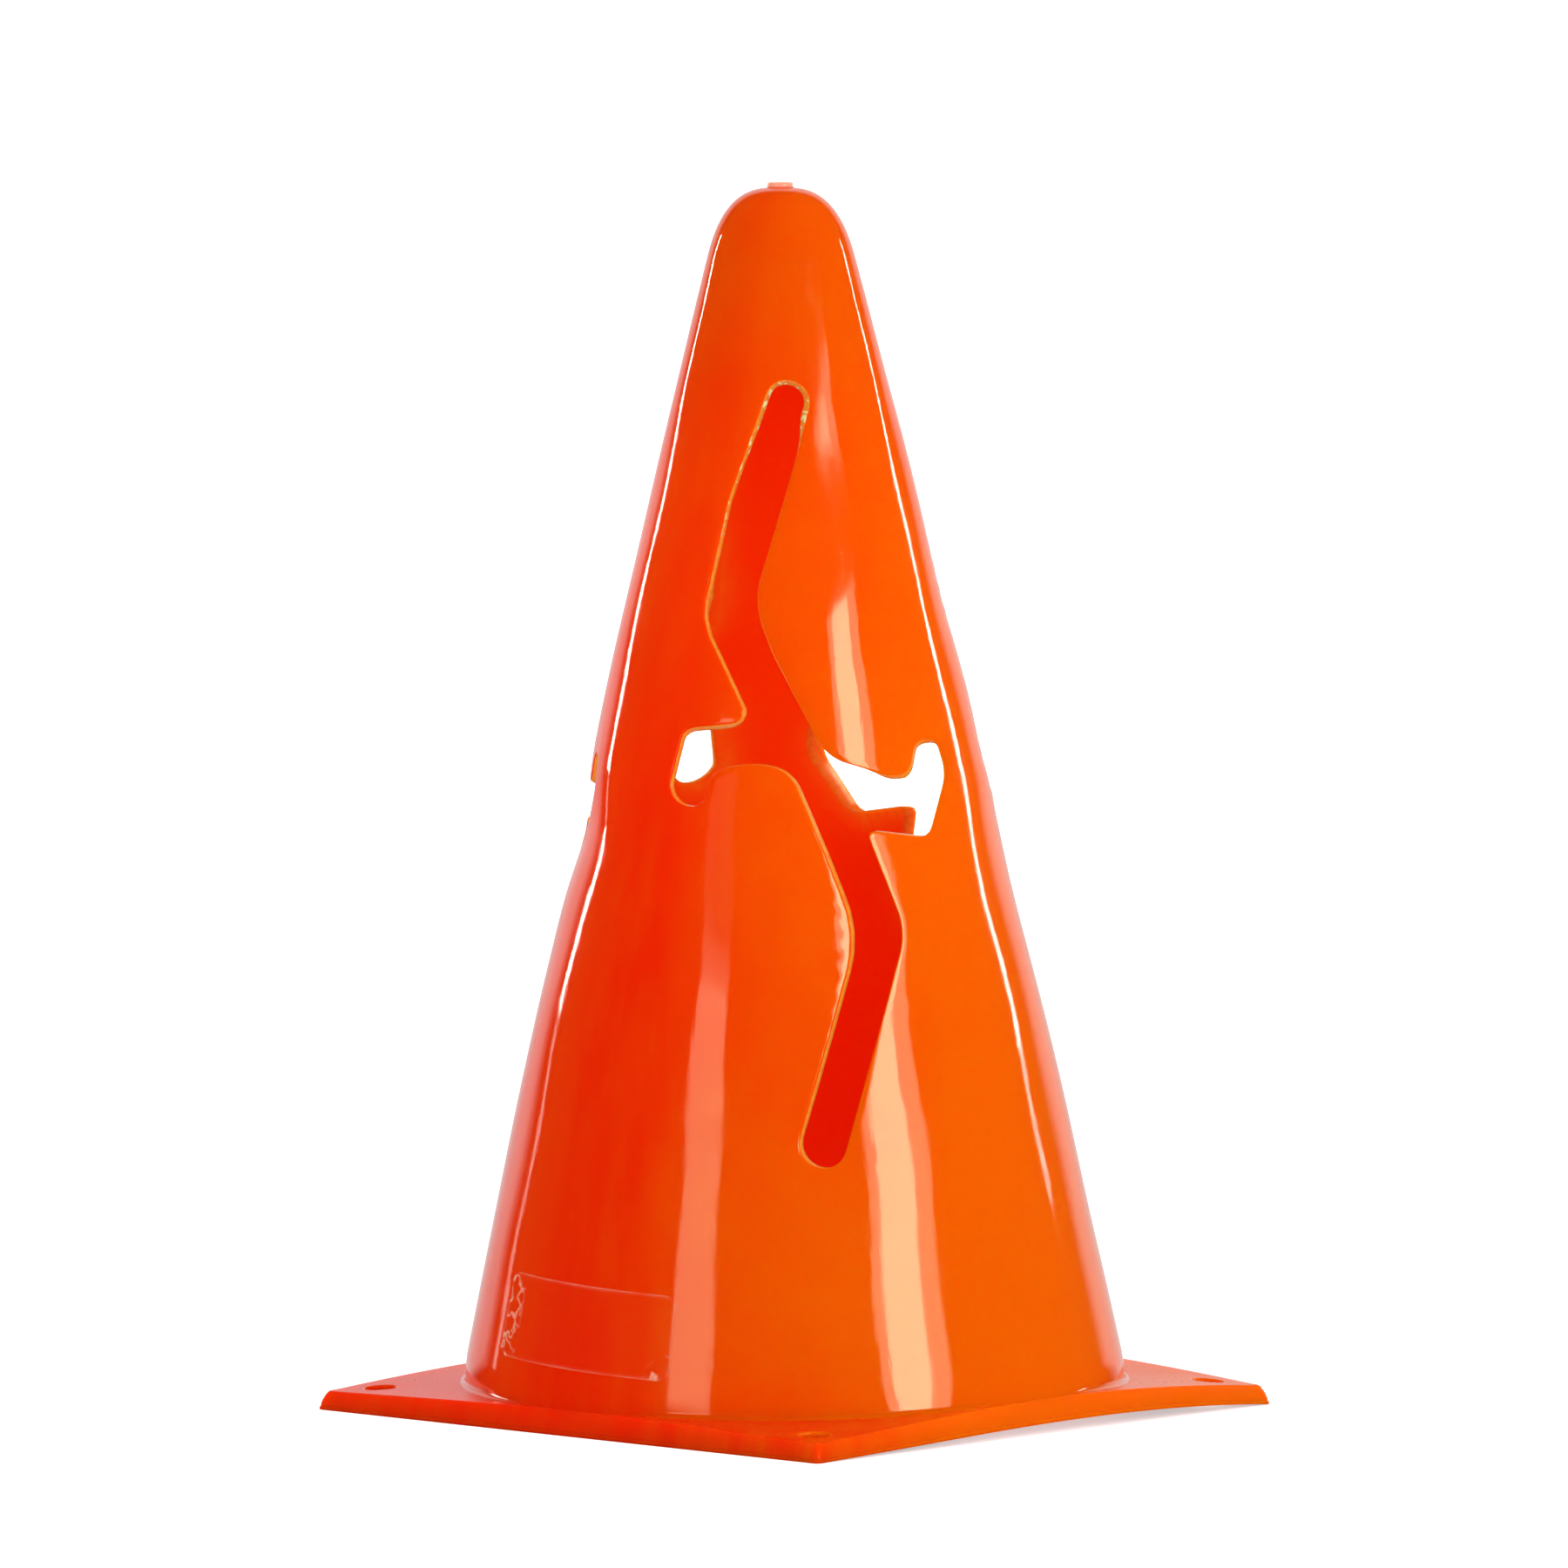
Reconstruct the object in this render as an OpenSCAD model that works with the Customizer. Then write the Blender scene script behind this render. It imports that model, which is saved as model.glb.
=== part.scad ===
// Slotted marker cone for sports training, moulded in one shot, with a clear label on its foot.
// Millimetres, +Z up. The origin is on the ground under the tip, and the foot's sides run along X and Y.

/* [Body] */
// Height from the ground to the top of the gate mark
cone_h = 230; // [190:1:460]
// Height of the gate mark left on the tip
gate_h = 0.9; // [0.4:0.1:1.6]
// Diameter of the gate mark
gate_d = 4.6; // [3:0.1:8]
// Radius of the wall where the dome starts
neck_r = 14.6; // [11:0.1:25]
// Height of the dome above the neck
dome_h = 15.7; // [10:0.1:25]
// How far the wall swells outwards halfway up
barrel = 1.4; // [0:0.1:3]
// Thickness of the wall, measured level
wall_t = 1.6; // [1.2:0.1:2.5]
// How far the upright collar at the wall's foot stays inside the foot's side
collar_in = 1.3; // [0.5:0.1:8]
// How far the wall's line, drawn on to the ground, passes the collar
collar_spread = 1.5; // [0.5:0.1:3]
// Fillet between the wall and the foot
fillet_r = 1; // [0.5:0.1:2]

/* [Foot] */
// Side of the square foot at the ground
base_side = 127; // [110:1:260]
// Height of the foot's top face
base_h = 3.6; // [3:0.1:6]
// Thickness of the foot's sheet and skirt
sheet_t = 1.5; // [1:0.1:2]
// How far the skirt leans in between the ground and the top face
skirt_lean = 1.2; // [0.5:0.1:2.2]
// How far the lip stands out round the skirt's rim
lip_out = 0.4; // [0.2:0.1:1]
// Height of the lip
lip_h = 0.6; // [0.4:0.1:1.5]
// Corner radius of the skirt at its rim
corner_r = 3.6; // [3:0.1:10]
// Diameter of the corner holes
hole_d = 6; // [4:0.5:8]
// Distance of the corner holes' centres from the foot's sides
hole_in = 8.5; // [7.5:0.5:11]

/* [Slots] */
// Number of slots round the wall
slot_count = 3; // [2:1:3]
// Height of the slots' lower ends above the ground
slot_low = 49.3; // [35:0.1:70]
// Distance of the slots' upper ends below the top
slot_drop = 36.3; // [30:0.1:60]
// Width of a slot across both wings
slot_w = 54; // [40:1:60]
// Direction that the first slot faces, in degrees from +X
slot_turn = -42.5; // [-180:0.5:180]

/* [Label] */
// Width of the label, measured straight across
label_w = 43; // [20:0.5:60]
// Height of the label
label_h = 15.6; // [8:0.2:18]
// Thickness of the label's film
label_t = 0.15; // [0.1:0.05:0.3]
// Corner radius of the label
label_r = 2; // [1:0.5:3.5]
// Height of the label's middle
label_z = 18.8; // [18:0.1:35]
// Direction that the label faces, in degrees from +X
label_turn = -90; // [-180:1:180]
// How far the label is turned from level, in degrees
label_tilt = 2.5; // [-5:0.5:5]

/* [Look] */
// Colour of the moulding
cone_color = "#f2480c"; // ["#f2480c", "#ffd400", "#2f6fe0", "#4caf50"]
// Colour of the label's film
label_color = "#ffd9cc"; // ["#ffd9cc", "#ffffff"]

/* [Hidden] */

// Facets round the cone
round_fn = 96;
// Facets round a corner or a hole
small_fn = 32;
// Steps up the wall and up the dome
wall_steps = 16;
dome_steps = 10;
// How square the dome's shoulder is: 2 is an ellipse
dome_power = 3;
// Largest turn between two points of a slot's rounded corner, in degrees
corner_step = 14;
// Overrun that makes every cut clean
cut_over = 1;

dome_top = cone_h - gate_h;
neck_z = dome_top - dome_h;
collar_r = base_side / 2 - collar_in;
foot_r = collar_r + collar_spread;
collar_z = collar_spread * neck_z / (foot_r - neck_r - 4 * barrel);
hole_pitch = base_side - 2 * hole_in;
slot_h = cone_h - slot_drop - slot_low;
slot_z = slot_low + slot_h / 2;

// Corners of half a slot's outline: across and the corner's radius as shares of the slot's width,
// and up as a share of its height, both from its middle. They run from the top end down the right
// side: arm, bend, wing with its hook, bend, bottom end. Half a turn gives the other half.
slot_corner_shares = [
    // across, up, radius
    [0.081, 0.488, 0.078],
    [-0.18, 0.215, 0.4],
    [0.067, 0.012, 0.16],
    [0.34, -0.006, 0.072],
    [0.374, 0.042, 0.046],
    [0.5, 0.03, 0.063],
    [0.424, -0.071, 0.054],
    [0.206, -0.066, 0.022],
    [0.333, -0.204, 0.213],
    [0.065, -0.508, 0.078]
];

// Radius of the wall at a share s of the height to the neck: a straight line plus a swell
function wall_r(s) = foot_r + (neck_r - foot_r) * s + 4 * barrel * s * (1 - s);

// Factor that closes the dome at a share s of its own height
function dome_share(s) = pow(1 - pow(s, dome_power), 1 / dome_power);

// Outline from the collar to the top, taken in by a wall of thickness t
function shell_points(t) = [
    for (i = [0 : wall_steps])
        let (z = collar_z + (neck_z - collar_z) * i / wall_steps)
        [wall_r(z / neck_z) - t, z],
    for (i = [1 : dome_steps])
        let (s = 1 - pow(1 - i / dome_steps, 2))
        [
            (neck_r - t - (foot_r - neck_r) * (dome_h - t) * s / neck_z) * dome_share(s),
            neck_z + (dome_h - t) * s
        ]
];

// Vector v at length 1
function unit(v) = v / norm(v);

// Arc of radius r, or less where the sides are short, that rounds the corner c between p and n
function rounded(p, c, n, r) =
    let (
        u = unit(p - c),
        v = unit(n - c),
        half = acos(u * v) / 2,
        sweep = 180 - 2 * half,
        side = min(r / tan(half), norm(p - c) / 2, norm(n - c) / 2),
        middle = c + unit(u + v) * side / cos(half),
        start = c + u * side - middle,
        end = c + v * side - middle,
        steps = ceil(sweep / corner_step)
    )
    [
        for (i = [0 : steps])
            middle + (start * sin(sweep * (1 - i / steps)) + end * sin(sweep * i / steps)) / sin(sweep)
    ];

// Outline of a slot round its middle
function slot_points() =
    let (
        one = [for (c = slot_corner_shares) [c[0] * slot_w, c[1] * slot_h]],
        at = concat(one, -one),
        n = len(at)
    )
    [
        for (i = [0 : n - 1])
            each rounded(
                at[(i + n - 1) % n], at[i], at[(i + 1) % n],
                slot_corner_shares[i % len(one)][2] * slot_w
            )
    ];

// Solid of revolution that fills the shell's outline, down to the height z0
module shell(t, z0) {
    p = shell_points(t);
    rotate_extrude($fn = round_fn)
        polygon(concat([[0, z0], [p[0][0], z0]], p));
}

// Square with rounded corners, centred
module rounded_rect(w, h, r) {
    square([w, h - 2 * r], center = true);
    square([w - 2 * r, h], center = true);
    for (x = [-1, 1], y = [-1, 1])
        translate([x * (w / 2 - r), y * (h / 2 - r)])
            circle(r = r, $fn = small_fn);
}

// Square frustum with round corners: half sides a and b, corner radius r at its bottom, height h
module frustum(a, b, r, h) {
    side = 2 * (a - r);
    for (turn = [0, 90])
        rotate([90, 0, turn])
            linear_extrude(height = side, center = true)
                polygon([[-a, 0], [a, 0], [b, h], [-b, h]]);
    for (x = [-1, 1], y = [-1, 1])
        translate([x * side / 2, y * side / 2, 0])
            cylinder(r1 = r, r2 = r - (a - b), h = h, $fn = small_fn);
}

// The foot's outer shape, with its lip
module foot_outside() {
    a = base_side / 2 - lip_out;
    frustum(a, a - skirt_lean, corner_r, base_h);
    linear_extrude(height = lip_h)
        rounded_rect(base_side, base_side, corner_r);
}

// The hollow under the foot's sheet
module foot_hollow() {
    a = base_side / 2 - lip_out - sheet_t;
    h = base_h - sheet_t;
    frustum(a, a - skirt_lean * h / base_h, corner_r - sheet_t, h);
    translate([0, 0, -cut_over])
        linear_extrude(height = cut_over)
            rounded_rect(2 * a, 2 * a, corner_r - sheet_t);
}

// Ring that fills the corner between the collar and the foot
module foot_fillet() {
    top = 2 * (base_side / 2 - lip_out - skirt_lean);
    intersection() {
        rotate_extrude($fn = round_fn)
            difference() {
                translate([collar_r - sheet_t, base_h - sheet_t])
                    square([sheet_t + fillet_r, sheet_t + fillet_r]);
                translate([collar_r + fillet_r, base_h + fillet_r])
                    circle(r = fillet_r, $fn = small_fn);
            }
        linear_extrude(height = cone_h)
            square([top, top], center = true);
    }
}

// One slot's cutter, for a slot that faces the direction turn
module slot_cutter(turn) {
    rotate([0, 0, turn + 90])
        translate([0, 0, slot_z])
            rotate([90, 0, 0])
                linear_extrude(height = base_side)
                    polygon(slot_points());
}

module cone() {
    color(cone_color)
        difference() {
            union() {
                shell(0, base_h - sheet_t);
                foot_outside();
                foot_fillet();
                cylinder(d = gate_d, h = cone_h, $fn = small_fn);
            }
            foot_hollow();
            shell(wall_t, -cut_over);
            for (i = [0 : slot_count - 1])
                slot_cutter(slot_turn + 360 * i / slot_count);
            for (x = [-1, 1], y = [-1, 1])
                translate([x * hole_pitch / 2, y * hole_pitch / 2, 0])
                    cylinder(d = hole_d, h = base_h + cut_over, $fn = small_fn);
        }
}

module label() {
    color(label_color)
        intersection() {
            difference() {
                shell(-label_t, base_h);
                shell(0, base_h);
            }
            rotate([0, 0, label_turn + 90])
                translate([0, 0, label_z])
                    rotate([90, label_tilt, 0])
                        linear_extrude(height = base_side)
                            rounded_rect(label_w, label_h, label_r);
        }
}

cone();
label();
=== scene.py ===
"""Slotted marker cone in soft orange plastic, with a blank clear label, on a plain floor.

Everything is in metres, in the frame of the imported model: +Z up, the origin on the ground under
the tip, the foot's sides along X and Y.
"""
import math

import bmesh
import bpy
import numpy as np
from bpy.props import FloatProperty, FloatVectorProperty, IntProperty, PointerProperty
from mathutils.geometry import delaunay_2d_cdt
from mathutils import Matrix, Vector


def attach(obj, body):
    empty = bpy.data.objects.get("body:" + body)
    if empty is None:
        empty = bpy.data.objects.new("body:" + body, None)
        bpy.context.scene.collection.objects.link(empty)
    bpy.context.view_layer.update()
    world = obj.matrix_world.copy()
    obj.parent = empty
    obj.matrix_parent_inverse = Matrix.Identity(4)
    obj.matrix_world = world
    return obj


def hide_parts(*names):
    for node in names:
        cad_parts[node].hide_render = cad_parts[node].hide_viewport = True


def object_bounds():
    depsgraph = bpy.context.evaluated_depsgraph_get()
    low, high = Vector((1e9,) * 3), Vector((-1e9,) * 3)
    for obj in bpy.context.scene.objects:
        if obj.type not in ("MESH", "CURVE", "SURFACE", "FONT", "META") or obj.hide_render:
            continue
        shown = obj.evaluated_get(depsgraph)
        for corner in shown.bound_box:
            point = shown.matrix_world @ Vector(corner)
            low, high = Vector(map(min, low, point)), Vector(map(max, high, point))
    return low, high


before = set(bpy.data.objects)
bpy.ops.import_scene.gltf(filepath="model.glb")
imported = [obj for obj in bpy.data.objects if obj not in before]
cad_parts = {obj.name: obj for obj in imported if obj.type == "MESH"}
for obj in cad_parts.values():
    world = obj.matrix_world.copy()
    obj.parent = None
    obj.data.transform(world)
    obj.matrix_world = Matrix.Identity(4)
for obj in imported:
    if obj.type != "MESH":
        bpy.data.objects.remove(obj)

CAD_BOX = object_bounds()
CAD_HEIGHT = CAD_BOX[1][2] - CAD_BOX[0][2]
CAD_SIDE = CAD_BOX[1][0] - CAD_BOX[0][0]
MM = 0.001
CIRCLE = 2 * np.pi

bl_info = {
    "name": "Slotted marker cone",
    "version": (1, 0, 0),
    "blender": (4, 5, 0),
    "location": "View3D > Sidebar > Marker Cone",
    "description": "Builds a slotted marker cone with its clear label, and the stage it stands on",
    "category": "Add Mesh",
}

# Corners of a slot's outline, from the top end down its right side and back up its left: across
# and up from the slot's middle, and the corner's radius, in millimetres.
SLOT_CORNERS = np.array([
    (4.4, 70.5, 4.2), (-8.6, 31.0, 21.0), (-5.4, 21.5, 18.0), (3.9, 2.6, 9.0), (15.4, -0.9, 6.0),
    (19.9, -0.9, 3.6), (21.3, 5.5, 2.4), (25.5, 5.2, 2.5), (27.3, -1.2, 8.0), (23.2, -12.6, 2.2),
    (10.9, -10.8, 1.0), (18.0, -29.5, 12.5), (3.9, -73.4, 4.2), (-4.4, -70.5, 4.2),
    (8.9, -30.0, 20.0), (3.2, -15.0, 40.0), (-3.0, 0.2, 9.0), (-9.5, 1.7, 14.0),
    (-17.2, 0.2, 4.5), (-18.9, -7.4, 2.9), (-25.4, -5.4, 4.0), (-21.8, 7.8, 3.0),
    (-10.1, 9.2, 2.2), (-18.1, 27.5, 12.0), (-12.4, 50.0, 20.0), (-3.5, 73.4, 4.2),
])

# Where the soft wall stands out or in from its true form: direction in degrees, height, how far
# out, and reach round the wall and up it, in millimetres.
SWELLS = np.array([
    (-137.6, 108.0, -1.75, 24.0, 10.0), (-137.6, 93.0, -0.65, 24.0, 14.0),
    (42.4, 98.0, -0.60, 24.0, 16.0), (42.4, 118.0, 0.30, 14.0, 4.0),
    (-31.0, 147.0, 1.15, 14.5, 18.0), (-30.0, 118.0, 0.25, 8.0, 9.0),
    (-27.0, 3.0, 0.80, 17.0, 3.6),
])

# Profile of the dimpled gate mark: share of its radius, and millimetres below its top.
GATE_PROFILE = np.array([
    (0, 0.3), (0.25, 0.3), (0.5, 0.28), (0.68, 0.16), (0.8, 0.04), (0.9, 0), (0.97, 0.04),
    (1.0, 0.15), (1.0, 0.45),
])

FOOT_CORNERS = np.pi / 4 + np.arange(4) * np.pi / 2    # azimuths

# Numbers of the moulding's materials.
OUTSIDE, WITHIN, CUT, SHEET, GATE, SKIRT = range(6)

# Soft boxes: name, azimuth from the camera's in degrees, height and level distance of the box,
# its width and height, the studio's level that it takes, and its share of that level.
LAMPS = [
    ("key_box", 41.5, 0.593, 1.50, 0.40, 0.475, "key", 0.62),
    ("key_spill", 43.5, 0.593, 1.52, 0.74, 0.515, "key", 0.30),
    ("fill_box", -37.0, 0.3185, 1.60, 0.42, 0.537, "fill", 1.0),
    ("fill_upper", -37.0, 0.6125, 1.60, 0.42, 0.055, "fill", 0.45),
    ("fill_top", -37.0, 0.678, 1.60, 0.42, 0.082, "fill", 0.10),
    ("left_strip", -130.0, 0.415, 1.40, 0.085, 0.42, "edge", 1.0),
    ("left_strip_low", -129.0, 0.1075, 1.40, 0.06, 0.175, "edge", 0.12),
    ("right_strip", 121.5, 0.4575, 1.40, 0.075, 0.425, "edge", 1.0),
    ("right_strip_low", 121.5, 0.226, 1.40, 0.07, 0.036, "edge", 0.35),
]
LAMP_TINTS = {"key": (1.0, 0.98, 0.95), "fill": (1.0, 0.98, 0.95), "edge": (1.0, 1.0, 1.0)}

# Share of white that a reflection shows, by how nearly it looks straight behind the object.
BEHIND_STOPS = [(0.720, 0.02), (0.810, 0.80)]
# The same for light that is not mirrored.
ROOM_STOPS = [(0.0, 0.66), (0.7, 1.0)]


# ---------------- sizes and colours

def length(name, text, value, low=0.0, high=1.0):
    """A size in metres, shown as a distance."""
    return FloatProperty(name=name, description=text, default=value, min=low, max=high,
                         unit="LENGTH", subtype="DISTANCE", precision=4)


def angle(name, text, degrees):
    """An angle, kept in radians and shown in degrees."""
    return FloatProperty(name=name, description=text, default=math.radians(degrees),
                         subtype="ANGLE", unit="ROTATION")


def number(name, text, value, low=0.0, high=100.0):
    """A plain number."""
    return FloatProperty(name=name, description=text, default=value, min=low, max=high)


def colour(name, text, value):
    """A colour in linear light."""
    return FloatVectorProperty(name=name, description=text, default=value, size=len(value),
                               min=0.0, max=1.0, subtype="COLOR")


class WallSizes(bpy.types.PropertyGroup):
    """The wall, the dome and the gate mark on the tip"""
    height: length("Height", "From the ground to the top of the gate mark", CAD_HEIGHT)
    gate_height: length("Gate height", "Height of the gate mark on the tip", 0.9 * MM)
    gate_radius: length("Gate radius", "Radius of the gate mark", 2.4 * MM)
    neck_radius: length("Neck radius", "Radius of the wall where the dome starts", 14.6 * MM)
    dome_height: length("Dome height", "Height of the dome above the neck", 15.7 * MM)
    swell: length("Swell", "How far the wall swells outwards halfway up", 1.4 * MM)
    thickness: length("Thickness", "Thickness of the wall, measured level", 1.6 * MM)
    collar_radius: length("Collar radius", "Radius of the upright collar at the wall's foot",
                          CAD_SIDE / 2 - 1.3 * MM)
    collar_spread: length("Collar spread",
                          "How far the wall's line, drawn on to the ground, passes the collar",
                          1.5 * MM)
    lean: length("Lean", "How far the tip stands to one side of the foot's middle", 2.8 * MM)
    lean_turn: angle("Lean direction", "Direction in which the tip leans", -137.6)
    unevenness: number("Unevenness", "How strongly the soft wall swells and draws in",
                       1.0, 0.0, 2.0)


class FootSizes(bpy.types.PropertyGroup):
    """The square foot, its skirt, lip and corner holes"""
    side: length("Side", "Side of the square foot at the ground", CAD_SIDE + 0.6 * MM)
    height: length("Height", "Height of the foot's top face", 3.6 * MM)
    sheet: length("Sheet", "Thickness of the foot's sheet and skirt", 1.5 * MM)
    skirt_lean: length("Skirt lean", "How far the skirt leans in towards its top", 1.25 * MM)
    lip_out: length("Lip width", "How far the lip stands out", 0.2 * MM)
    lip_height: length("Lip height", "Height of the lip", 0.6 * MM)
    corner: length("Corner radius", "Corner radius of the skirt at its rim", 0.8 * MM)
    fillet: length("Fillet", "Fillet between the wall and the foot", 1.0 * MM)
    hole_radius: length("Hole radius", "Radius of the corner holes", 3.0 * MM)
    hole_inset: length("Hole inset", "Distance of a hole's middle from the foot's sides", 8.5 * MM)
    crown: length("Crown", "How far the sheet rises from its corners to the wall", 1.15 * MM)
    arch_right: length("Arch, right", "How far the rim bows up on the +X side", 1.95 * MM)
    arch_left: length("Arch, left", "How far the rim bows up on the -X side", 1.7 * MM)
    arch_rear: length("Arch, rear", "How far the rim bows up on the +Y side", 2.6 * MM)


class SlotSizes(bpy.types.PropertyGroup):
    """The branching slots"""
    count: IntProperty(name="Count", description="Number of slots round the wall",
                       default=3, min=1, max=3)
    turn: angle("First slot", "Direction that the first slot faces", -42.5)
    middle: length("Middle", "Height of the slots' middles", 121.5 * MM)
    round_out: length("Outer round", "Rounding of the slots' outer edges", 0.35 * MM)
    round_in: length("Inner round", "Rounding of the slots' inner edges", 0.25 * MM)
    draft: length("Draft", "How far the cut face drifts sideways through the wall", 1.0 * MM)
    end_draft: length("End draft", "How far the cut faces close in round the upper end", 1.2 * MM)
    second_wing: number("Second wing", "Reach of the second slot's right wing against the first's",
                        0.90, 0.5, 1.2)
    third_wing: number("Third wing", "Reach of the third slot's right wing against the first's",
                       0.80, 0.5, 1.2)
    third_drop: length("Third drop", "How far the third slot's right wing hangs lower", 3.5 * MM)
    third_left: number("Third left", "Reach of the third slot's left wing against the first's",
                       1.09, 0.5, 1.3)
    curl: length("Curl", "How far the tongues' edges turn in beside the slots", 0.5 * MM)
    curl_reach: length("Curl reach", "How far from a slot the curl has faded", 4.5 * MM)
    wave: length("Waves", "Depth of the wall's shallow waves", 0.10 * MM)


class LabelSizes(bpy.types.PropertyGroup):
    """The clear label"""
    width: length("Width", "Width of the label along the wall", 43.6 * MM)
    height: length("Height", "Height of the label", 15.6 * MM)
    film: length("Film", "Thickness of the label's film", 0.12 * MM)
    corner: length("Corner radius", "Radius of the label's corners", 2.0 * MM)
    middle: length("Middle", "Height of the label's middle", 18.8 * MM)
    turn: angle("Direction", "Direction that the label faces", -90.5)
    tilt: angle("Tilt", "How far the label is turned from level", 2.5)


class Finish(bpy.types.PropertyGroup):
    """Colours of the two pieces"""
    # Painted light and shade: the first colour is the moulding's lit side, the second its shaded
    # side, and a redder copy of the second paints shade in a band on one side.
    plastic: colour("Plastic", "The moulding on its yellower side", (0.97, 0.108, 0.0))
    plastic_shaded_side: colour("Plastic, deep", "The moulding on its redder side", (0.96, 0.040, 0.0))
    inside: colour("Inside", "The moulding's inside", (1.0, 0.10, 0.0))
    # Painted light: the inside takes this paler colour near the cuts, where light would shine
    # through the wall.
    lit: colour("Lit edges", "The inside where light comes through a cut", (1.0, 0.36, 0.03))
    gate: colour("Gate mark", "The gate mark on the tip", (0.92, 0.36, 0.24))
    cut: colour("Cut faces", "The slots' cut faces", (1.0, 0.34, 0.04))
    roughness: number("Roughness", "Roughness of the outside", 0.06, 0.0, 1.0)
    film: colour("Film", "Tint of the label's clear film", (1.0, 0.58, 0.38))


class Studio(bpy.types.PropertyGroup):
    """Camera, lamps and floor"""
    azimuth: angle("Azimuth", "Direction of the camera round the object", 42.4)
    distance: length("Distance", "Level distance from the axis to the camera", 2.4, 0.1, 10.0)
    eye: length("Eye height", "Height of the camera", 0.2792)
    pitch: angle("Pitch", "How far the camera looks down", 3.844)
    aside: length("Aside", "How far the camera stands to the left of the axis", 2.1 * MM)
    lens: number("Lens", "Focal length in millimetres", 293.3, 10.0, 500.0)
    floor: colour("Floor", "Colour of the floor", (0.82, 0.81, 0.805))
    key: number("Key level", "Brightness of the large soft box", 13.0)
    fill: number("Fill level", "Brightness of the small soft box", 3.3)
    edge: number("Edge level", "Brightness of the strips beside the object", 15.0)
    ambient: number("Ambient level", "Brightness of the room", 1.36)


# ---------------- shapes as arrays

def neck_height(w):
    """Height at which the wall ends and the dome starts."""
    return w.height - w.gate_height - w.dome_height


def wall_radius(z, w):
    """Radius of the wall's outside at height z: a straight line from foot to neck plus a swell
    4 s (1 - s) at the share s of the neck's height, kept within the collar by a smooth minimum."""
    s = z / neck_height(w)
    foot = w.collar_radius + w.collar_spread
    free = foot + (w.neck_radius - foot) * s + 4 * w.swell * s * (1 - s)
    gap = free - w.collar_radius
    soft = 0.25 * MM
    return w.collar_radius + 0.5 * (gap - np.sqrt(gap * gap + soft * soft))


def dome_profile(w, take_in, count):
    """Radius and height of the dome from its top down to the neck: the wall's line, carried on
    and eased into, times (1 - s^3)^(1/3) at the share s of the dome's height."""
    neck = neck_height(w)
    rise = w.dome_height - take_in
    slope = (w.collar_radius + w.collar_spread - w.neck_radius) / neck
    s = np.sin(np.linspace(np.pi / 2, 0, count))
    easing = 4 * w.swell / neck * rise * s * (1 - s) ** 2
    r = (w.neck_radius - take_in - slope * rise * s - easing) * np.cbrt(1 - s ** 3)
    return r, neck + rise * s


def square_reach(turn, half, corner):
    """Distance from the middle of a square with round corners to its outline in the direction
    turn: half / the larger of |cos| and |sin|, or the corner circle's far crossing."""
    c, s = np.abs(np.cos(turn)), np.abs(np.sin(turn))
    m, n = np.maximum(c, s), np.minimum(c, s)
    k = half - corner
    flat = half / m
    arc = k * (m + n) + np.sqrt(np.maximum(corner ** 2 - (k * (m - n)) ** 2, 0))
    return np.where(flat * n > k, arc, flat)


def rounded_outline(corners, step):
    """Closed outline through round corners, with points at equal steps: each corner becomes an
    arc whose tangent points lie r / tan(half the corner's angle) from it."""
    c = corners[:, :2]
    before, after = np.roll(c, 1, 0) - c, np.roll(c, -1, 0) - c
    lb, la = np.linalg.norm(before, axis=1), np.linalg.norm(after, axis=1)
    u, v = before / lb[:, None], after / la[:, None]
    half = np.arccos(np.clip((u * v).sum(1), -1, 1)) / 2
    side = np.minimum(corners[:, 2] / np.tan(half), np.minimum(lb, la) / 2)
    axis = u + v
    axis /= np.linalg.norm(axis, axis=1)[:, None]
    middle = c + axis * (side / np.cos(half))[:, None]
    start, end = c + u * side[:, None] - middle, c + v * side[:, None] - middle
    sweep = (np.pi - 2 * half)[:, None]
    t = np.linspace(0, 1, 25)[None, :]
    a, b = np.sin(sweep * (1 - t)) / np.sin(sweep), np.sin(sweep * t) / np.sin(sweep)
    arc = middle[:, None, :] + start[:, None, :] * a[..., None] + end[:, None, :] * b[..., None]
    path = arc.reshape(-1, 2)
    path = np.vstack([path, path[:1]])
    run = np.concatenate([[0], np.cumsum(np.linalg.norm(np.diff(path, axis=0), axis=1))])
    at = np.linspace(0, run[-1], int(run[-1] / step) + 1)[:-1]
    return np.stack([np.interp(at, run, path[:, 0]), np.interp(at, run, path[:, 1])], 1)


def slot_outline(k, step, s):
    """Slot k's outline in metres. Its wings, the parts more than 14 mm from the middle, are scaled
    by the slot's own share, because they differ a little in the soft wall."""
    loop = rounded_outline(SLOT_CORNERS, step) * MM
    root, full = 14 * MM, 5 * MM
    right, left = np.maximum(loop[:, 0] - root, 0), np.maximum(-loop[:, 0] - root, 0)
    loop[:, 0] -= right * (1 - (1.0, s.second_wing, s.third_wing)[k])
    loop[:, 0] -= left * ((1.0, 1.0, s.third_left)[k] - 1)
    loop[:, 1] -= (0.0, 0.0, s.third_drop)[k] * np.clip(right / full, 0, 1)
    return loop


def outward(loop):
    """Unit vectors square to a closed outline, pointing away from what it encloses."""
    t = np.roll(loop, -1, 0) - np.roll(loop, 1, 0)
    t /= np.linalg.norm(t, axis=1)[:, None]
    n = np.stack([t[:, 1], -t[:, 0]], 1)
    x, y = loop.T
    area = (x * np.roll(y, -1) - np.roll(x, -1) * y).sum()
    return n if area > 0 else -n


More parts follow.
